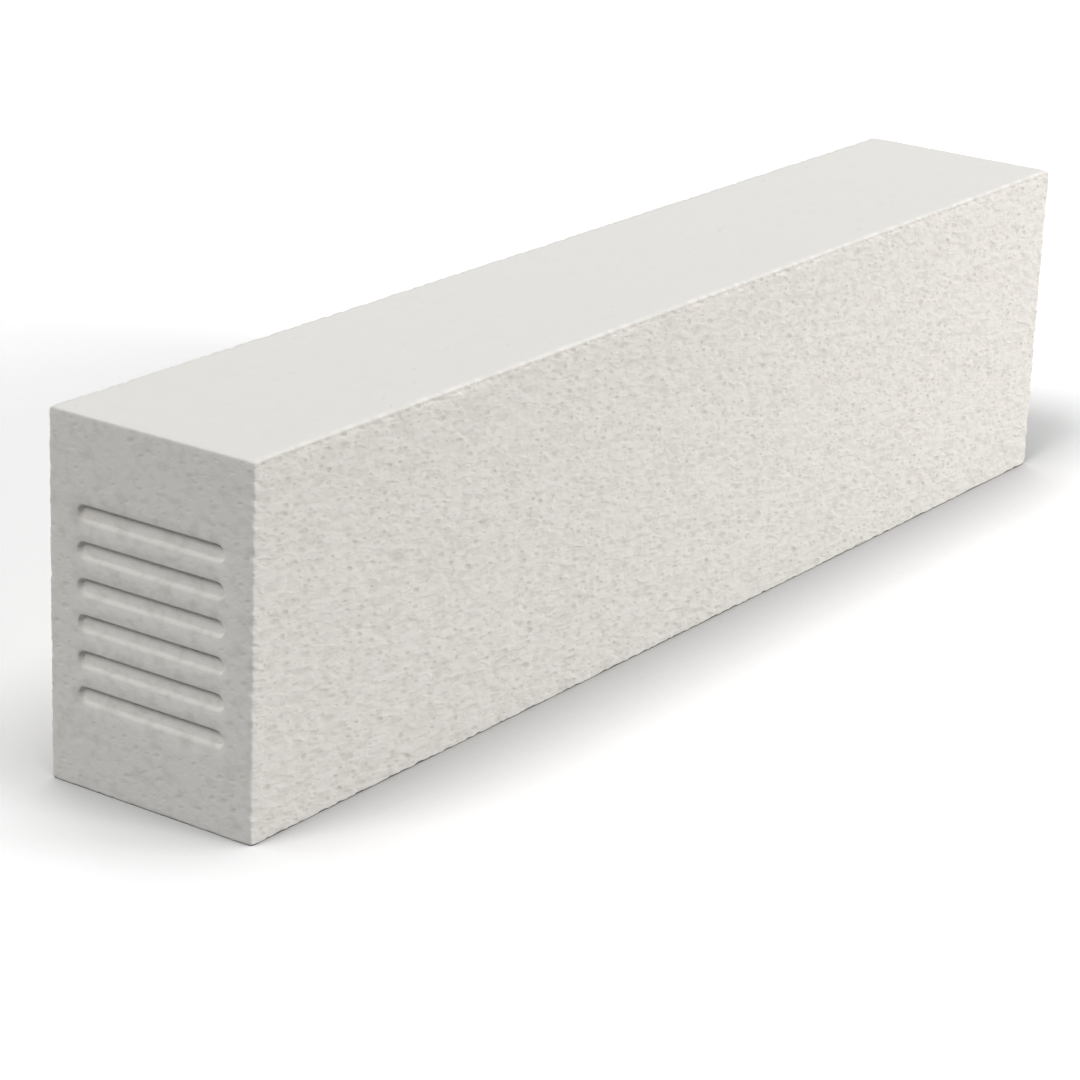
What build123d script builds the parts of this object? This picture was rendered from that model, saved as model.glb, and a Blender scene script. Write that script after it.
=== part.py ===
from build123d import *
import os

# Aerated concrete block: one piece, wire-cut to size before it was steam cured.
# X runs along the length, Y across the thickness and Z up.
# The origin is the middle of the bed face that the block rests on.
# Lengths are in millimetres and angles in degrees.

# The block
LENGTH = 600.0
THICKNESS = 100.0
HEIGHT = 150.0
ARRIS_RADIUS = 1.0  # edges rubbed round by handling

# Stack of key bars stamped into the -X end while the cake was still soft
BAR_HEIGHT = 7.0
BAR_PITCH = 14.6
BAR_DEPTH = 2.2
BAR_DRAFT = 20.0  # lean of the walls, which lets the stamp pull out clean
BAR_RIM_RADIUS = 0.5  # rim crumbled round where the stamp left the face
STAMP_SIDE_MARGIN = 14.0  # plain face left beside the bars
STAMP_BED_MARGIN = 32.0  # least plain face left above and below the stack

# The bars fill the face between the margins
bar_length = THICKNESS - 2 * STAMP_SIDE_MARGIN
stack_height = HEIGHT - 2 * STAMP_BED_MARGIN
bar_count = 1 + int((stack_height - BAR_HEIGHT) // BAR_PITCH)

# Sketch plane on the stamped end, looking into the block
stamped_end = Plane(
    origin=(-LENGTH / 2, 0, HEIGHT / 2),
    x_dir=(0, 1, 0),
    z_dir=(1, 0, 0),
)

with BuildPart() as aerated_block:
    # Plain cut block with softened arrises
    with BuildSketch():
        Rectangle(LENGTH, THICKNESS)
    extrude(amount=HEIGHT)
    fillet(aerated_block.edges(), radius=ARRIS_RADIUS)

    # Round-ended bars that narrow towards their floors
    with BuildSketch(stamped_end):
        with GridLocations(0, BAR_PITCH, 1, bar_count):
            SlotOverall(bar_length, BAR_HEIGHT)
    extrude(amount=BAR_DEPTH, taper=BAR_DRAFT, mode=Mode.SUBTRACT)

    # Crumbled rims of the bars
    end_face = aerated_block.faces().sort_by(Axis.X)[0]
    bar_rims = [edge for rim in end_face.inner_wires() for edge in rim.edges()]
    fillet(bar_rims, radius=BAR_RIM_RADIUS)

aerated_block.part.label = "aerated_block"

os.makedirs("parts", exist_ok=True)
export_step(aerated_block.part, "parts/aerated_block.step")
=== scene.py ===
import math

import bpy
import numpy as np
from bpy.props import FloatProperty, FloatVectorProperty, IntProperty, PointerProperty, StringProperty
from mathutils import Euler, Matrix, Vector, noise
from mathutils.geometry import delaunay_2d_cdt


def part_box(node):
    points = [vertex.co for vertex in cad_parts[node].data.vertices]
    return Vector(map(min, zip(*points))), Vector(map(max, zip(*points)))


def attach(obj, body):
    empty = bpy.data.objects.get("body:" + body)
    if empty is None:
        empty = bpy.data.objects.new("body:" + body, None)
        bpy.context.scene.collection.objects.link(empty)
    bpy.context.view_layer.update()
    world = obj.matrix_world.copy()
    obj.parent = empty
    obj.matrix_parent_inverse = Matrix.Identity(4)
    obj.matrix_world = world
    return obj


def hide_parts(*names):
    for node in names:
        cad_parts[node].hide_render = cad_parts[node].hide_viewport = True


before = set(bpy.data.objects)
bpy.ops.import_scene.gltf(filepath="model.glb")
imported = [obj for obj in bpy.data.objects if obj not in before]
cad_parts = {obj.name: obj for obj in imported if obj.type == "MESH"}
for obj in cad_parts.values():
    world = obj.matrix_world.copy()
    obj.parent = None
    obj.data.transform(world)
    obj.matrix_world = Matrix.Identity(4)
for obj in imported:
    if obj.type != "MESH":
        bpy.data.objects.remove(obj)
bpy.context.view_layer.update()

bl_info = {
    "name": "Aerated Concrete Block",
    "version": (1, 0, 0),
    "blender": (4, 5, 0),
    "location": "View3D > Sidebar > Block",
    "description": "Dresses an aerated concrete block with open cells, worn arrises and a chalky finish",
    "category": "Object",
}

MM = 0.001
MICROMETRE = 0.001 * MM
NODE = "aerated_block"
BODY = "root"
BLOCK_LOW, BLOCK_HIGH = (np.array(corner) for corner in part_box(NODE))
HALF = (BLOCK_HIGH - BLOCK_LOW) / 2.0
MIDDLE = (BLOCK_HIGH + BLOCK_LOW) / 2.0

# Start of the random draws, and a turn of the noise, whose own lattice would line up with the arrises
SEED = 600
NOISE_TURN = np.array(Euler((0.6, 0.8, 0.4)).to_matrix())

# How rough each kind of face is, and how strongly lime bloom mottles it
WIRE_CUT, CAST, SMOOTH = 1.0, 0.25, 0.05
BLOOM = {WIRE_CUT: 0.4, CAST: 0.9, SMOOTH: 0.12}

# Outward normal of each face, the two directions that run along it, and its kind
X, Y, Z = np.eye(3)
FACES = {
    "front": (-Y, X, Z, WIRE_CUT),
    "back": (Y, -X, Z, WIRE_CUT),
    "top": (Z, X, Y, SMOOTH),
    "bed": (-Z, -X, Y, SMOOTH),
    "stamped_end": (-X, -Y, Z, CAST),
    "plain_end": (X, Y, Z, CAST),
}

# Rows of points beside an arris: the first as a share of its radius, the others of the chips' reach
ARRIS_ROW = 0.7
CHIP_ROWS = (0.4, 0.9, 1.3)

# Loose points of a smooth face: their spacing, and where they start as a share of the chips' reach
FACE_STEP = 9.0 * MM
FACE_MARGIN = 1.8

# How far points stray from an even spacing, as shares of it
ARRIS_STRAY = 0.3
FACE_STRAY = 0.25

# Placing of the cells: tries for each, noise between which they crowd, least share of the middle radius
TRIES = 12
CROWD_NOISE = (0.25, 0.75)
LEAST_RADIUS = 0.5

# Shape of a cell: points on its floor and its rim, and ranges as shares of its radius or its depth
FLOOR_POINTS = 3
RIM_POINTS, LARGE_RIM_POINTS = 7, 9
LARGE_CELL = 1.2
RIM_RANGE = (0.82, 1.0)
FLOOR_RANGE = (0.3, 0.5)
DEPTH_RANGE = (0.6, 1.3)
FLOOR_TILT = (0.8, 1.1)
CELL_CLEARANCE = 1.15

# Loops round a stamped bar, as shares of its rim's radius, and steps round its end
RIM_LOOPS = (-1.0, -0.2, 0.4, 1.0)
FLOOR_LOOP = 0.6
BEND_STEPS = 8
STAMP_CLEARANCE = 1.0 * MM

# Kind of result and joining distance in millimetres that the triangulation takes
HULL_TRIANGLES = 0
JOIN_MM = 1e-6

# Chips: noise at which one starts and is full, and the length of the grit as a share of a chip's
CHIP_NOISE = (0.42, 0.7)
GRIT_LENGTH = 0.4

# Shares of the depth that even rubbing, chips and grit take
RUBBED, CHIPPED, GRITTY = 0.15, 0.5, 0.35

# Wear as a share of the full chips: by side, at the foot and at the ends
FRONT_WEAR, BACK_WEAR, LEAST_WEAR = 0.85, 0.25, 0.15
FOOT_WEAR, END_WEAR = 0.3, 0.5

# Where the wear fades out along and across a face, as shares of the chips' reach
WEAR_FADE = 3.0
SIDE_FADE = (0.8, 1.6)

# Painted shade on the upper arrises, which holds down the highlight on their rounding: width as a share
# of the radius, drop of the chips' reach, and its even part
SHADE_WIDTH, SHADE_DROP, EVEN_SHADE = 1.6, 0.7, 0.6

# Values that the mesh holds at its points for the finish
POINT_VALUES = ("pit", "arris_shade", "rough", "bloom")

# Depth at which a cell takes the most painted shade and dust, as a share of the middle radius
FULL_PIT = 0.4

# Places on a mix node of its two colours and its result, whose names it uses more than once
MIX_A, MIX_B, MIX_RESULT = 6, 7, 2


def length(name, description, millimetres):
    """A property that holds a length."""
    return FloatProperty(name=name, description=description, default=millimetres * MM, unit="LENGTH")


def point(name, description, *millimetres):
    """A property that holds a place or a slide."""
    default = tuple(part * MM for part in millimetres)
    return FloatVectorProperty(
        name=name, description=description, size=len(default), default=default, unit="LENGTH")


def turn(name, description, degrees):
    """A property that holds an angle."""
    return FloatProperty(
        name=name, description=description, default=math.radians(degrees), subtype="ANGLE")


def share(name, description, default, unit="NONE"):
    """A property that holds a plain number, or one in a unit of its own."""
    return FloatProperty(name=name, description=description, default=default, unit=unit)


def shade(name, description, colour):
    """A property that holds an sRGB hex colour."""
    return StringProperty(name=name, description=description, default=colour)


class ArrisSettings(bpy.types.PropertyGroup):
    """Worn edges of the block."""

    radius: length("Radius", "Rounding of the arrises", 0.6)
    step: length("Step", "Spacing of the mesh along an arris", 1.15)
    crumb_depth: length("Crumb depth", "Depth of the chips along a wire-cut arris", 1.7)
    crumb_length: length("Crumb length", "Length of one chip", 4.0)
    crumb_reach: length("Crumb reach", "How far from an arris the chips reach", 2.8)
    corner_wear: length("Corner wear", "How far the corners are rubbed back", 0.4)
    corner_reach: length("Corner reach", "How far from a corner the rubbing shows", 4.0)


class CellSettings(bpy.types.PropertyGroup):
    """Air cells that the wire opened on the two long sides."""

    density: share("Density", "Cells on a square centimetre", 3.4)
    radius: length("Radius", "Middle radius of a cell", 0.85)
    spread: share("Spread", "Spread of the radius, as the deviation of its logarithm", 0.3)
    largest: length("Largest", "Largest radius of a cell", 1.7)
    depth: share("Depth", "Depth of a cell as a share of its radius", 0.42)
    drag: share("Drag", "Length over height of a cell, drawn out by the wire", 2.3)
    slant: share("Slant", "Rise of a cell along its length, left by the leaning wire", -0.12)
    gap: length("Gap", "Least wall between two cells", 0.2)
    edge: share("Edge", "Share of the cells that opened along the upper arris", 0.08)
    patch: length("Patch", "Width of the patches in which the cells crowd together", 16.0)
    wave: length("Wave", "Depth of the soft waves that the wire left", 0.42)
    wave_length: length("Wave length", "Length of one wave", 3.6)


class DimpleSettings(bpy.types.PropertyGroup):
    """Faint dimples on the other faces."""

    density: share("Density", "Dimples on a square centimetre of an end", 2.2)
    radius: length("Radius", "Middle radius of a dimple", 0.9)
    spread: share("Spread", "Spread of the radius, as the deviation of its logarithm", 0.3)
    largest: length("Largest", "Largest radius of a dimple", 1.5)
    depth: share("Depth", "Depth of a dimple as a share of its radius", 0.17)
    drag: share("Drag", "Length over height of a dimple", 1.9)
    slant: share("Slant", "Rise of a dimple along its length", 0.2)
    gap: length("Gap", "Least wall between two dimples", 0.3)
    edge: share("Edge", "Share of the dimples that opened along the upper arris", 0.0)
    patch: length("Patch", "Width of the patches in which the dimples crowd together", 25.0)
    calm: share("Calm", "Share of the dimples that the top and the bed have", 0.04)


class StampSettings(bpy.types.PropertyGroup):
    """Plain bars pressed into one end."""

    bar_height: length("Bar height", "Height of a bar at the face", 7.0)
    bar_pitch: length("Bar pitch", "Spacing of the bars", 14.6)
    bar_count: IntProperty(name="Bars", description="Number of bars in the stack", default=6)
    bar_depth: length("Bar depth", "Depth of a bar's floor", 2.2)
    draft: turn("Draft", "Lean of a bar's walls", 20.0)
    rim_radius: length("Rim radius", "Rounding of a bar's rim", 0.5)
    side_margin: length("Side margin", "Plain face beside the bars", 14.0)
    step: length("Step", "Spacing of the mesh round a bar", 2.0)


class FinishSettings(bpy.types.PropertyGroup):
    """Colours and grain of the concrete."""

    body: shade("Body", "Colour of the smooth faces", "#E5E3DF")
    cut: shade("Cut", "Colour of the wire-cut sides", "#E8E4DF")
    stain: shade("Stain", "Colour of the darker mottle", "#D5D2CC")
    # Colour of the painted shade, with some dust, in the open cells, the grain's hollows and the upper
    # arrises
    pore_shade: shade("Pore", "Colour of the dust and shade in an open cell", "#B9B4AB")
    across: share("Across", "How far the patterns are drawn out across the block", 1.4)
    mottle: length("Mottle", "Width of the mottle", 4.0)
    mottle_from: share("Mottle from", "Noise at which the mottle starts", 0.48)
    mottle_full: share("Mottle full", "Noise at which the mottle is full", 0.8)
    fine_cell: length("Fine cell", "Spacing of the finest open cells", 4.6)
    fine_floor: share("Fine floor", "Floor of a finest cell as a share of the spacing", 0.05)
    fine_rim: share("Fine rim", "Rim of a finest cell as a share of the spacing", 0.55)
    fine_depth: share("Fine depth", "Depth of the finest cells as a share of the relief", 0.5)
    grain: length("Grain", "Width of the sandy grain", 2.9)
    grain_warp: share("Grain warp", "How far the grain is pulled out of round", 0.6)
    relief: length("Relief", "Height of the grain and the finest cells", 0.95)
    # Dust and painted shade in the hollows of the grain on the wire-cut sides
    dust_and_shade_level: share("Dust level", "Height in the relief below which dust lies", 0.55)
    dust_and_shade: share("Dust", "How much of the pore's colour the dust brings", 0.37)
    # Painted shade, with some dust, in the open cells by their depth
    hollow: share("Hollow", "How much of the pore's colour an open cell shows", 0.27)
    # Painted shade on the upper arrises, which holds down the highlight on their rounding
    arris_shade: share("Soil", "How much of the pore's colour a soiled arris shows", 0.55)
    roughness: share("Roughness", "Roughness of the faint sheen", 0.95)
    chalk: share("Chalk", "Diffuse roughness of the chalky surface", 0.6)


class StageSettings(bpy.types.PropertyGroup):
    """Floor and camera."""

    azimuth: turn("Azimuth", "Camera's turn about the block", -55.1)
    elevation: turn("Elevation", "Camera's height above the level", 19.66)
    roll: turn("Roll", "Camera's tilt to one side", 2.23)
    distance: length("Distance", "Camera to the middle of the block", 1555.6)
    slide: point("Slide", "Camera's slide to the right and up", -29.95, -44.05)
    lens: share("Lens", "Focal length in millimetres", 119.0, unit="CAMERA")
    floor: length("Floor", "Side of the floor", 40000.0)
    floor_return: share("Floor return", "Share of the light that the floor throws back on the block", 0.2)
    floor_white: share("Floor white", "Brightness of the floor to the camera", 1.34)
    contact: length("Contact", "How far the floor's soft shade reaches from the block", 100.0)


class LampSettings(bpy.types.PropertyGroup):
    """Lights round the block."""

    ambient: share("Ambient", "Strength of the light from all round", 0.187)
    key: share("Key", "Strength of the low light on the long side", 1.80)
    key_heading: turn("Key heading", "Turn of the low light about the block", 12.0)
    key_height: turn("Key height", "Height of the low light above the level", 15.0)
    key_spread: turn("Key spread", "Width of the low light", 20.0)
    back: share("Back", "Strength of the high light from behind the stamped end", 1.83)
    back_heading: turn("Back heading", "Turn of the high light about the block", -98.0)
    back_height: turn("Back height", "Height of the high light above the level", 50.0)
    back_spread: turn("Back spread", "Width of the high light", 34.0)
    fill: share("Fill", "Power of the lamp near the far end of the long side", 4.85, unit="POWER")
    fill_place: point("Fill place", "Place of the lamp near the far end", 600.0, -950.0, 250.0)
    fill_target: point("Fill target", "Place that the lamp near the far end faces", 250.0, -50.0, 80.0)
    fill_size: length("Fill size", "Side of the lamp near the far end", 500.0)
    rear: share("Rear", "Power of the low lamp behind the block", 12.0, unit="POWER")
    rear_place: point("Rear place", "Place of the low lamp behind the block", 900.0, 1750.0, 75.0)
    rear_target: point("Rear target", "Place that the low lamp behind the block faces", 0.0, 0.0, 75.0)
    rear_size: length("Rear size", "Side of the low lamp behind the block", 140.0)


SETTINGS = {
    "block_arris": ArrisSettings,
    "block_cells": CellSettings,
    "block_dimples": DimpleSettings,
    "block_stamp": StampSettings,
    "block_finish": FinishSettings,
    "block_stage": StageSettings,
    "block_lamps": LampSettings,
}


# Mesh of the block

def ease(low, high, value):
    """0 below low, 1 above high, smooth between."""
    part = np.clip((value - low) / (high - low), 0.0, 1.0)
    return part * part * (3.0 - 2.0 * part)


def fade(low, high, value):
    """1 below low, 0 above high, smooth between."""
    return 1.0 - ease(low, high, value)


def at_least(least, part):
    """A part between 0 and 1, squeezed to start from the least."""
    return least + (1.0 - least) * part


def ripple(points, wave_length):
    """Smooth noise between 0 and 1 at the points."""
    turned = points @ NOISE_TURN / wave_length
    return np.array([0.5 + 0.5 * noise.noise(Vector(place)) for place in turned])


def round_box(points, radius):
    """Moves points from the sharp box onto the box with rounded arrises, and gives their normals."""
    core = np.clip(points, radius - HALF, HALF - radius)
    away = points - core
    normals = away / np.linalg.norm(away, axis=1, keepdims=True)
    return core + radius * normals, normals


def arris_places(rng, step):
    """Places of the mesh along X, Y and Z, shared by the faces that meet at an arris."""
    places = []
    for reach in HALF:
        count = round(2.0 * reach / step)
        row = np.linspace(-reach, reach, count + 1)
        row[1:-1] += rng.uniform(-ARRIS_STRAY, ARRIS_STRAY, count - 1) * step
        places.append(row)
    return places


def border_row(reach, places, inset):
    """Points round a face, a given distance in from its sharp border."""
    low_u, low_v = reach - inset
    along_u = places[0][np.abs(places[0]) < low_u]
    along_v = places[1][np.abs(places[1]) < low_v]
    sides = [np.array([(i * low_u, j * low_v) for i in (-1.0, 1.0) for j in (-1.0, 1.0)])]
    for side in (-1.0, 1.0):
        sides.append(np.column_stack([along_u, np.full(len(along_u), side * low_v)]))
        sides.append(np.column_stack([np.full(len(along_v), side * low_u), along_v]))
    return np.concatenate(sides)


def to_round(points, cells):
    """Points of a face in the skewed directions in which every cell is round."""
    return np.column_stack([points[:, 0] / cells.drag, points[:, 1] - cells.slant * points[:, 0]])


def from_round(points, cells):
    """Points of a face, from the skewed directions in which every cell is round."""
    along = points[:, 0] * cells.drag
    return np.column_stack([along, points[:, 1] + cells.slant * along])


def scatter(rng, reach, cells, density):
    """Round centres and radii of the cells of a face, the largest placed first and none touching."""
    square_cm = 4.0 * reach.prod() / (10.0 * MM) ** 2
    radii = rng.lognormal(math.log(cells.radius), cells.spread, int(density * square_cm))
    radii = np.sort(np.clip(radii, LEAST_RADIUS * cells.radius, cells.largest))[::-1]
    bin_size = 2.0 * cells.largest + cells.gap
    bins = {}
    placed = []
    span = np.array([cells.drag, math.hypot(1.0, cells.slant * cells.drag)])
    for radius in radii:
        room = reach - radius * span - cells.gap
        tries = rng.uniform(-room, room, (TRIES, 2))
        if rng.random() < cells.edge:
            tries[:, 1] = room[1]
        crowd = ease(*CROWD_NOISE, ripple(np.column_stack([tries, np.zeros(TRIES)]), cells.patch))
        for p, q in to_round(tries[crowd > rng.random(TRIES)], cells):
            column, row = int(p // bin_size), int(q // bin_size)
            around = [(column + i, row + j) for i in (-1, 0, 1) for j in (-1, 0, 1)]
            near = [other for place in around for other in bins.get(place, ())]
            if all(math.hypot(p - a, q - b) > radius + c + cells.gap for a, b, c in near):
                bins.setdefault((column, row), []).append((p, q, radius))
                placed.append((p, q, radius))
                break
    return np.array(placed)


def ring(rng, count):
    """Points evenly round a circle of radius 1, from a random start."""
    angles = rng.uniform(0.0, math.tau) + np.arange(count) * math.tau / count
    return np.column_stack([np.cos(angles), np.sin(angles)])


def cell_points(rng, placed, cells):
    """Rim and floor points of the cells, their depths, and the cell whose rim each is on."""
    points, depths, rims = [], [], []
    for number, (p, q, radius) in enumerate(placed):
        sides = LARGE_RIM_POINTS if radius > LARGE_CELL * cells.radius else RIM_POINTS
        rim = (p, q) + ring(rng, sides) * radius * rng.uniform(*RIM_RANGE, (sides, 1))
        inner = ring(rng, FLOOR_POINTS) * radius * rng.uniform(*FLOOR_RANGE, (FLOOR_POINTS, 1))
        depth = radius * cells.depth * rng.uniform(*DEPTH_RANGE)
        points += [rim, rim.mean(axis=0) + inner]
        depths += [np.zeros(sides), depth * rng.uniform(*FLOOR_TILT, FLOOR_POINTS)]
        rims += [np.full(sides, number), np.full(FLOOR_POINTS, -1)]
    return from_round(np.concatenate(points), cells), np.concatenate(depths), np.concatenate(rims)


def bar_rows(stamp):
    """Heights of the bars' middles, from the middle of the face."""
    return (np.arange(stamp.bar_count) - (stamp.bar_count - 1) / 2.0) * stamp.bar_pitch


def bar_halves(reach, stamp):
    """Half the height of a bar, and half the length of its straight stretch."""
    half_height = stamp.bar_height / 2.0
    return half_height, reach[0] - stamp.side_margin - half_height


def inside_bars(points, reach, stamp):
    """How far inside the outline of the nearest bar each point of the end face lies."""
    half_height, half_straight = bar_halves(reach, stamp)
    beyond = np.maximum(np.abs(points[:, 0]) - half_straight, 0.0)
    off_row = np.abs(points[:, 1, None] - bar_rows(stamp)).min(axis=1)
    return half_height - np.hypot(beyond, off_row)


def stamp_depth(points, reach, stamp):
    """Depth of the stamped bars at points of the end face."""
    inside = inside_bars(points, reach, stamp)
    soft = stamp.rim_radius
    eased = np.where(inside < soft, np.maximum(inside + soft, 0.0) ** 2 / (4.0 * soft), inside)
    return np.minimum(eased / math.tan(stamp.draft), stamp.bar_depth)


def off_stamp(points, reach, stamp, clearance):
    """Whether each point keeps its clearance from the stamped bars."""
    return inside_bars(points, reach, stamp) < -(stamp.rim_radius + clearance)


def stamp_loops(reach, stamp):
    """Points on loops round each bar's rim, wall and floor."""
    half_height, half_straight = bar_halves(reach, stamp)
    wall = stamp.bar_depth * math.tan(stamp.draft)
    insets = [part * stamp.rim_radius for part in RIM_LOOPS]
    insets += [wall, wall + FLOOR_LOOP * stamp.rim_radius, (wall + half_height) / 2.0]
    straight = np.linspace(-half_straight, half_straight, round(2.0 * half_straight / stamp.step) + 1)
    bend = np.linspace(-math.pi / 2.0, math.pi / 2.0, BEND_STEPS + 1)[1:-1]
    loops = []
    for row in bar_rows(stamp):
        for radius in (half_height - inset for inset in insets):
            for side in (-1.0, 1.0):
                level = np.full(len(straight), row + side * radius)
                loops.append(np.column_stack([straight, level]))
                loops.append(np.column_stack(
                    [side * (half_straight + radius * np.cos(bend)), row + radius * np.sin(bend)]))
    return np.concatenate(loops)


def loose_points(rng, reach, margin, step):
    """Scattered points that keep the triangles of a smooth face small."""
    counts = np.ceil(2.0 * (reach - margin) / step).astype(int)
    axes = [np.linspace(margin - r, r - margin, n + 1) for r, n in zip(reach, counts)]
    grid = np.stack(np.meshgrid(*axes), axis=-1).reshape(-1, 2)
    return grid + rng.uniform(-FACE_STRAY, FACE_STRAY, grid.shape) * step


def clear_of_cells(points, placed, cells):
    """The points that no cell has opened."""
    keep = np.ones(len(points), bool)
    across = to_round(points, cells)
    for p, q, radius in placed:
        keep &= np.hypot(across[:, 0] - p, across[:, 1] - q) > CELL_CLEARANCE * radius
    return points[keep]


def face_points(rng, name, places, settings):
    """Points over a face in its own directions, their depths in cells and in bars, and their rims."""
    *along, rough = FACES[name][1:]
    axes = [np.abs(direction).argmax() for direction in along]
    reach = HALF[axes]
    own_places = [places[axis] * direction.sum() for axis, direction in zip(axes, along)]
    arris = settings.block_arris
    stamp = settings.block_stamp
    cells = settings.block_cells if rough == WIRE_CUT else settings.block_dimples
    placed = scatter(rng, reach, cells, cells.density * (cells.calm if rough == SMOOTH else 1.0))
    # The slope of a chip ends between the last two rows, so that the face past them stays flat
    insets = [ARRIS_ROW * arris.radius] + [part * arris.crumb_reach for part in CHIP_ROWS]
    plain = [border_row(reach, own_places, inset) for inset in insets]
    if rough != WIRE_CUT:
        plain.append(loose_points(rng, reach, FACE_MARGIN * arris.crumb_reach, FACE_STEP))
    plain = np.concatenate(plain)
    if name == "stamped_end":
        placed = placed[off_stamp(from_round(placed, cells), reach, stamp, 2.0 * cells.largest)]
        plain = plain[off_stamp(plain, reach, stamp, STAMP_CLEARANCE)]
    plain = clear_of_cells(plain, placed, cells)
    if name == "stamped_end":
        plain = np.concatenate([plain, stamp_loops(reach, stamp)])
    plain = np.concatenate([border_row(reach, own_places, 0.0), plain])
    opened, depths, rims = cell_points(rng, placed, cells)
    points = np.concatenate([plain, opened])
    depths = np.concatenate([np.zeros(len(plain)), depths])
    rims = np.concatenate([np.full(len(plain), -1), rims])
    pressed = stamp_depth(points, reach, stamp) if name == "stamped_end" else np.zeros(len(points))
    return points, depths, pressed, rims


def triangulate(points, rims):
    """Triangles over a face's points, with the rim of every cell kept as edges."""
    members = np.flatnonzero(rims >= 0)
    edges = []
    for loop in np.split(members, np.flatnonzero(np.diff(rims[members])) + 1):
        edges += zip(loop.tolist(), np.roll(loop, -1).tolist())
    flat = [Vector(place / MM) for place in points]
    found, _, triangles, *_ = delaunay_2d_cdt(flat, edges, [], HULL_TRIANGLES, JOIN_MM)
    if len(found) != len(points):
        raise RuntimeError(f"{len(points)} points of a face became {len(found)}")
    return np.array(triangles)


def cut_side(points, arris):
    """1 on the two wire-cut sides, fading out towards their arrises."""
    gaps = HALF - np.abs(points)
    return (gaps[:, 1] < MICROMETRE) * ease(0.0, arris.crumb_reach, gaps[:, (0, 2)].min(axis=1))


def wear(points, arris):
    """How much painted shade each point takes near the upper arrises, and its slide away from the arrises
    and the corners.
    """
    gaps = HALF - np.abs(points)
    reach = arris.crumb_reach
    edge = fade(0.0, reach, np.sort(gaps, axis=1)[:, 1])
    # A chip goes right across its arris, so that no lip is left beside it
    on_arris = np.where(gaps < reach, np.sign(points) * HALF, points)
    chips = ease(*CHIP_NOISE, ripple(on_arris, arris.crumb_length))
    grit = ease(*CHIP_NOISE, ripple(on_arris, GRIT_LENGTH * arris.crumb_length))
    # The front's upper arris wore the most, and those between two smooth faces hardly at all
    most = np.where(points[:, 1] < 0.0, FRONT_WEAR, BACK_WEAR)
    most *= at_least(FOOT_WEAR, ease(0.0, WEAR_FADE * reach, points[:, 2] + HALF[2]))
    most *= at_least(END_WEAR, ease(reach, WEAR_FADE * reach, gaps[:, 0]))
    side_low, side_high = (part * reach for part in SIDE_FADE)
    worn = LEAST_WEAR + most * fade(side_low, side_high, gaps[:, 1])
    crumbled = edge * worn * (RUBBED + CHIPPED * chips + GRITTY * grit)
    # Painted shade on the upper arrises, which holds down the highlight on their rounding, and more of it
    # in the chips
    upper = fade(0.0, SHADE_WIDTH * arris.radius, gaps[:, 1])
    upper = upper * fade(0.0, SHADE_DROP * reach, HALF[2] - points[:, 2])
    darkened = upper * worn * at_least(EVEN_SHADE, np.maximum(chips, grit))
    corners = arris.corner_wear * fade(0.0, arris.corner_reach, np.linalg.norm(gaps, axis=1))
    # One direction for all the points near an arris, so that the worn surface never folds
    lean = np.sign(points) * fade(0.0, WEAR_FADE * reach, gaps)
    lean /= np.linalg.norm(lean, axis=1, keepdims=True)
    return darkened, -lean * (arris.crumb_depth * crumbled + corners)[:, None]


def block_mesh(settings):
    """The block as one closed mesh, with its open cells, stamp and worn arrises."""
    rng = np.random.default_rng(SEED)
    arris = settings.block_arris
    cells = settings.block_cells
    places = arris_places(rng, arris.step)
    parts = []
    triangles = []
    first_point = 0
    first_rim = 0
    for name, (normal, along_u, along_v, rough) in FACES.items():
        flat, depth, pressed, rim = face_points(rng, name, places, settings)
        triangles.append(triangulate(flat, rim) + first_point)
        solid = flat[:, :1] * along_u + flat[:, 1:] * along_v + normal * HALF
        rim = np.where(rim < 0, -1, rim + first_rim)
        parts.append((solid, depth, pressed, rim, np.full(len(flat), rough)))
        first_point += len(flat)
        first_rim = max(first_rim, rim.max() + 1)
    columns = [np.concatenate(part) for part in zip(*parts)]
    # A point on an arris belongs to both of its faces, and a corner to all three
    micrometres = np.round(columns[0] / MICROMETRE)
    _, kept, joined = np.unique(micrometres, axis=0, return_index=True, return_inverse=True)
    points, depths, pressed, rims, rough = (column[kept] for column in columns)
    surface, normals = round_box(points, arris.radius)
    darkened, worn = wear(points, arris)
    waves = cells.wave * cut_side(points, arris) * ripple(points, cells.wave_length)
    inward = depths + pressed + waves
    mesh = bpy.data.meshes.new("block")
    triangles = joined.reshape(-1)[np.concatenate(triangles)]
    mesh.from_pydata(surface - normals * inward[:, None] + worn + MIDDLE, [], triangles)
    mesh.shade_smooth()
    keep_rims_sharp(mesh, rims)
    bloom = np.vectorize(BLOOM.get)(rough)
    for name, values in zip(POINT_VALUES, (depths, darkened, rough, bloom)):
        mesh.attributes.new(name, "FLOAT", "POINT").data.foreach_set("value", values)
    return mesh


def keep_rims_sharp(mesh, rims):
    """Makes the rim of every cell a sharp edge, so that the face round it stays flat to the light."""
    ends = np.zeros(2 * len(mesh.edges), np.int32)
    mesh.edges.foreach_get("vertices", ends)
    first, second = rims[ends.reshape(-1, 2)].T
    sharp = mesh.attributes.new("sharp_edge", "BOOLEAN", "EDGE")
    sharp.data.foreach_set("value", (first >= 0) & (first == second))


# Materials

def linear(colour):
    """Linear RGBA of an sRGB hex colour."""
    parts = [int(colour[i:i + 2], 16) / 255.0 for i in (1, 3, 5)]
    return [p / 12.92 if p <= 0.04045 else ((p + 0.055) / 1.055) ** 2.4 for p in parts] + [1.0]


def grey(value):
    """Linear RGBA of a grey, which may be brighter than white."""
    return (value, value, value, 1.0)


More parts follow.
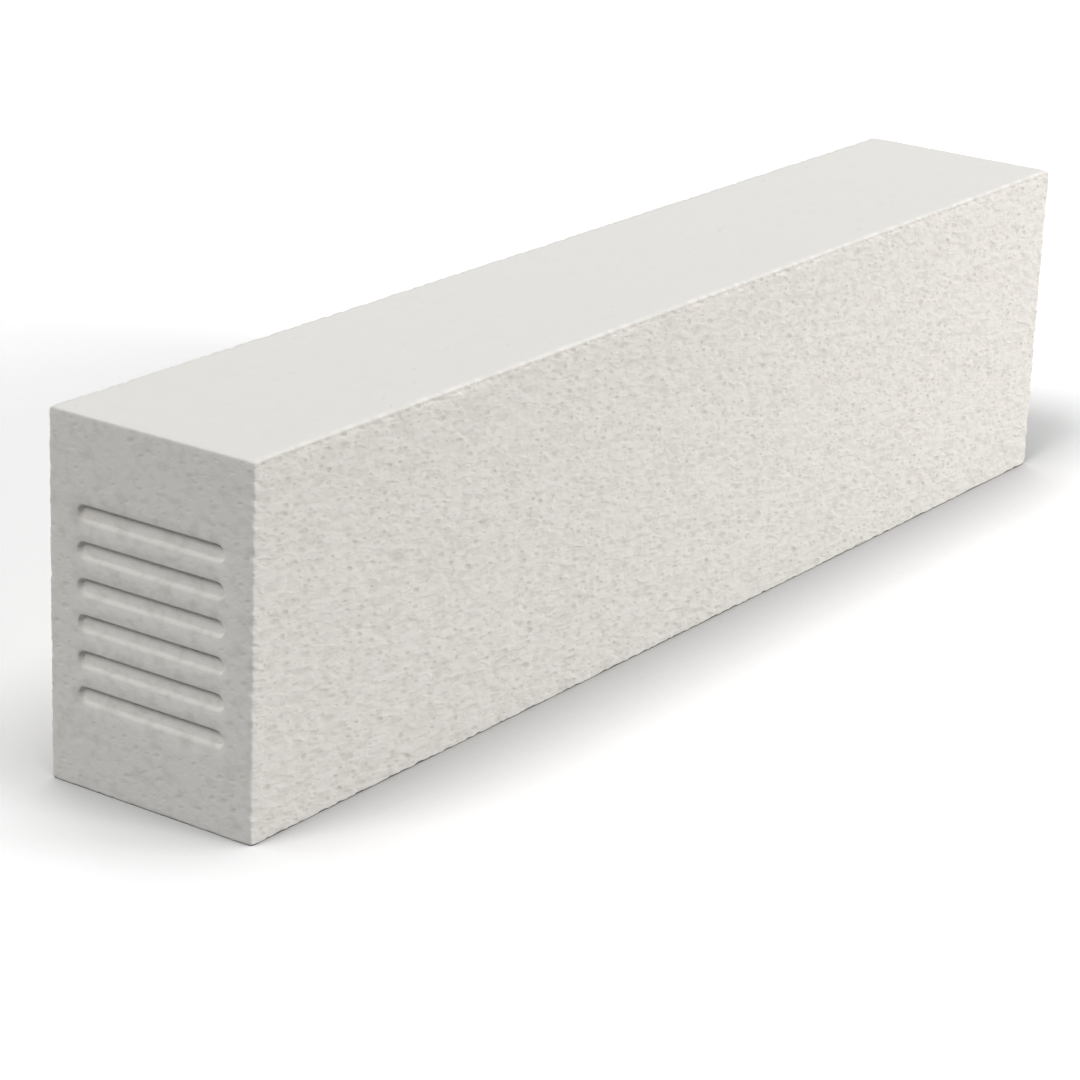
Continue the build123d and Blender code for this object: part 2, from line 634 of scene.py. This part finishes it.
def add(tree, kind, links, sockets=None, **settings):
    """Adds a node with its settings and socket values, and links its inputs."""
    node = tree.nodes.new(kind)
    for name, value in settings.items():
        setattr(node, name, value)
    for socket, value in (sockets or {}).items():
        node.inputs[socket].default_value = value
    for socket, source in links.items():
        output = source.outputs[0] if isinstance(source, bpy.types.Node) else source
        tree.links.new(output, node.inputs[socket])
    return node


def new_material(name):
    """An empty node material, with its tree."""
    material = bpy.data.materials.new(name)
    material.use_nodes = True
    material.node_tree.nodes.clear()
    return material, material.node_tree


def aerated_concrete(finish, cells):
    """Steam-cured aerated concrete, wire-cut and dry."""
    # Lime and cement cured in steam: dead matt and chalky, near white, with dust and painted shade in the
    # open cells
    material, tree = new_material("aerated_concrete_wire_cut")
    pit, arris_shade, rough, bloom = (
        add(tree, "ShaderNodeAttribute", {}, attribute_name=name).outputs["Fac"] for name in POINT_VALUES)
    # The wire drew every pattern out along the block and leaned it
    place = add(tree, "ShaderNodeTexCoord", {}).outputs["Object"]
    lean = (0.0, -math.atan(cells.slant), 0.0)
    drawn = add(tree, "ShaderNodeMapping", {"Vector": place},
                {"Scale": (cells.drag, finish.across, 1.0), "Rotation": lean}, vector_type="TEXTURE")
    # Mottle of lime bloom, faint on the smooth faces
    mottle = add(tree, "ShaderNodeTexNoise", {"Vector": drawn},
                 {"Scale": 1.0 / finish.mottle, "Detail": 2.0})
    mottled = add(tree, "ShaderNodeMapRange", {"Value": mottle},
                  {"From Min": finish.mottle_from, "From Max": finish.mottle_full})
    stained = add(tree, "ShaderNodeMath", {0: mottled, 1: bloom}, operation="MULTIPLY")
    cut = add(tree, "ShaderNodeMapRange", {"Value": rough}, {"From Min": CAST, "From Max": WIRE_CUT})
    body = add(tree, "ShaderNodeMix", {"Factor": cut},
               {MIX_A: linear(finish.body), MIX_B: linear(finish.cut)}, data_type="RGBA")
    ground = add(tree, "ShaderNodeMix", {"Factor": stained, MIX_A: body.outputs[MIX_RESULT]},
                 {MIX_B: linear(finish.stain)}, data_type="RGBA")
    # Finest cells, too small for the mesh, sunk into a sandy grain. Real ones are well under a
    # millimetre wide and would not show in the render, so both are drawn several times coarser.
    cell = add(tree, "ShaderNodeTexVoronoi", {"Vector": drawn}, {"Scale": 1.0 / finish.fine_cell})
    grain = add(tree, "ShaderNodeTexNoise", {"Vector": drawn},
                {"Scale": 1.0 / finish.grain, "Detail": 1.0, "Distortion": finish.grain_warp})
    pinhole = add(tree, "ShaderNodeMapRange", {"Value": cell, "To Min": cell.outputs["Color"]},
                  {"From Min": finish.fine_floor, "From Max": finish.fine_rim, "To Max": 0.0},
                  interpolation_type="SMOOTHSTEP")
    sunk = add(tree, "ShaderNodeMath", {0: pinhole, 2: grain}, {1: -finish.fine_depth},
               operation="MULTIPLY_ADD")
    bump = add(tree, "ShaderNodeBump", {"Height": sunk, "Strength": rough}, {"Distance": finish.relief})
    # Dust and painted shade in the hollows of the grain and in the open cells, and painted shade on the
    # upper arrises
    low = add(tree, "ShaderNodeMapRange", {"Value": sunk},
              {"From Min": finish.dust_and_shade_level, "From Max": 0.0, "To Max": finish.dust_and_shade})
    grain_dust_and_shade = add(tree, "ShaderNodeMath", {0: low, 1: cut}, operation="MULTIPLY")
    # Painted shade, with some dust, that darkens each open cell by its depth
    hollow = add(tree, "ShaderNodeMapRange", {"Value": pit},
                 {"From Max": FULL_PIT * cells.radius, "To Max": finish.hollow})
    # Painted shade that darkens the highlight the lamps leave on the rounded upper arrises
    darkened = add(tree, "ShaderNodeMapRange", {"Value": arris_shade}, {"To Max": finish.arris_shade})
    darkest = hollow
    for other in (grain_dust_and_shade, darkened):
        darkest = add(tree, "ShaderNodeMath", {0: darkest, 1: other}, operation="MAXIMUM")
    colour = add(tree, "ShaderNodeMix", {"Factor": darkest, MIX_A: ground.outputs[MIX_RESULT]},
                 {MIX_B: linear(finish.pore_shade)}, data_type="RGBA")
    surface = add(tree, "ShaderNodeBsdfPrincipled",
                  {"Base Color": colour.outputs[MIX_RESULT], "Normal": bump},
                  {"Roughness": finish.roughness, "IOR": 1.5, "Diffuse Roughness": finish.chalk})
    add(tree, "ShaderNodeOutputMaterial", {"Surface": surface})
    return material


def seen_rays(tree):
    """1 for the rays that show the background itself, straight or in a reflection."""
    light = add(tree, "ShaderNodeLightPath", {})
    seen = light.outputs["Is Camera Ray"]
    for kind in ("Is Glossy Ray", "Is Transmission Ray"):
        seen = add(tree, "ShaderNodeMath", {0: seen, 1: light.outputs[kind]}, operation="MAXIMUM")
    return seen


def studio_floor(stage):
    """Matt white paper, seen as white by the camera, that keeps the block's shadow."""
    material, tree = new_material("white_paper")
    colour = add(tree, "ShaderNodeMix", {"Factor": seen_rays(tree)},
                 {MIX_A: grey(stage.floor_return), MIX_B: grey(stage.floor_white)}, data_type="RGBA")
    # Soft shade where the paper lies close to the block
    shaded = add(tree, "ShaderNodeAmbientOcclusion", {"Color": colour.outputs[MIX_RESULT]},
                 {"Distance": stage.contact})
    surface = add(tree, "ShaderNodeBsdfDiffuse", {"Color": shaded})
    add(tree, "ShaderNodeOutputMaterial", {"Surface": surface})
    return material


# Stage

def camera_matrix(stage):
    """Camera's place and turn, for a turn about the block, a height, a roll and a slide."""
    azimuth, elevation, roll = stage.azimuth, stage.elevation, stage.roll
    back = Vector((math.sin(azimuth) * math.cos(elevation), -math.cos(azimuth) * math.cos(elevation),
                   math.sin(elevation)))
    level = Vector((math.cos(azimuth), math.sin(azimuth), 0.0))
    upright = back.cross(level)
    right = math.cos(roll) * level + math.sin(roll) * upright
    up = math.cos(roll) * upright - math.sin(roll) * level
    place = Vector(MIDDLE) + back * stage.distance + right * stage.slide[0] + up * stage.slide[1]
    return Matrix.Translation(place) @ Matrix((right, up, back)).transposed().to_4x4()


def area_lamp(name, place, target, size, power):
    """A square soft lamp that faces a target."""
    data = bpy.data.lights.new(name, "AREA")
    data.size = size
    data.energy = power
    lamp = bpy.data.objects.new(name, data)
    lamp.location = place
    lamp.visible_camera = False
    lamp.rotation_euler = (Vector(target) - Vector(place)).to_track_quat("-Z", "Y").to_euler()
    bpy.context.scene.collection.objects.link(lamp)


def sun_lamp(name, heading, height, spread, strength):
    """A broad even light from far off, for a turn about the block and a height above the level."""
    data = bpy.data.lights.new(name, "SUN")
    data.angle = spread
    data.energy = strength
    lamp = bpy.data.objects.new(name, data)
    lamp.rotation_euler = (math.pi / 2.0 - height, 0.0, heading)
    bpy.context.scene.collection.objects.link(lamp)


def studio_world(ambient):
    """Even light from all round, which the camera sees as white."""
    world = bpy.data.worlds.new("studio")
    world.use_nodes = True
    tree = world.node_tree
    tree.nodes.clear()
    strength = add(tree, "ShaderNodeMapRange", {"Value": seen_rays(tree)},
                   {"To Min": ambient, "To Max": 1.0})
    sky = add(tree, "ShaderNodeBackground", {"Strength": strength}, {"Color": grey(1.0)})
    add(tree, "ShaderNodeOutputWorld", {"Surface": sky})
    return world


class BLOCK_OT_body(bpy.types.Operator):
    """Build the block's visible mesh and give it its finish"""

    bl_idname = "aerated_block.body"
    bl_label = "Block"

    def execute(self, context):
        settings = context.scene
        mesh = block_mesh(settings)
        mesh.materials.append(aerated_concrete(settings.block_finish, settings.block_cells))
        block = bpy.data.objects.new("block", mesh)
        settings.collection.objects.link(block)
        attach(block, BODY)
        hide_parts(NODE)
        return {"FINISHED"}


class BLOCK_OT_stage(bpy.types.Operator):
    """Set up the floor, the light and the camera"""

    bl_idname = "aerated_block.stage"
    bl_label = "Stage"

    def execute(self, context):
        scene = context.scene
        stage = scene.block_stage
        lamps = scene.block_lamps
        scene.view_settings.view_transform = "Standard"
        scene.world = studio_world(lamps.ambient)
        half = stage.floor / 2.0
        corners = [(-half, -half, 0.0), (half, -half, 0.0), (half, half, 0.0), (-half, half, 0.0)]
        mesh = bpy.data.meshes.new("floor")
        mesh.from_pydata(corners, [], [(0, 1, 2, 3)])
        mesh.materials.append(studio_floor(stage))
        floor = bpy.data.objects.new("floor", mesh)
        scene.collection.objects.link(floor)
        sun_lamp("key", lamps.key_heading, lamps.key_height, lamps.key_spread, lamps.key)
        sun_lamp("back", lamps.back_heading, lamps.back_height, lamps.back_spread, lamps.back)
        area_lamp("fill", lamps.fill_place, lamps.fill_target, lamps.fill_size, lamps.fill)
        area_lamp("rear", lamps.rear_place, lamps.rear_target, lamps.rear_size, lamps.rear)
        data = bpy.data.cameras.new("camera")
        data.lens = stage.lens
        camera = bpy.data.objects.new("camera", data)
        camera.matrix_world = camera_matrix(stage)
        scene.collection.objects.link(camera)
        scene.camera = camera
        return {"FINISHED"}


class BLOCK_PT_panel(bpy.types.Panel):
    """Lists the block's settings and the steps that build it"""

    bl_label = "Aerated Concrete Block"
    bl_idname = "BLOCK_PT_panel"
    bl_space_type = "VIEW_3D"
    bl_region_type = "UI"
    bl_category = "Block"

    def draw(self, context):
        for operator in OPERATORS:
            self.layout.operator(operator.bl_idname)
        for name, group in SETTINGS.items():
            box = self.layout.box()
            box.label(text=group.__doc__)
            for setting in group.__annotations__:
                box.prop(getattr(context.scene, name), setting)


OPERATORS = (BLOCK_OT_body, BLOCK_OT_stage)
CLASSES = (*SETTINGS.values(), *OPERATORS, BLOCK_PT_panel)


def register():
    for cls in CLASSES:
        bpy.utils.register_class(cls)
    for name, group in SETTINGS.items():
        setattr(bpy.types.Scene, name, PointerProperty(type=group))


def unregister():
    for name in SETTINGS:
        delattr(bpy.types.Scene, name)
    for cls in reversed(CLASSES):
        bpy.utils.unregister_class(cls)


def main():
    register()
    bpy.ops.aerated_block.body()
    bpy.ops.aerated_block.stage()


if __name__ == "__main__":
    main()
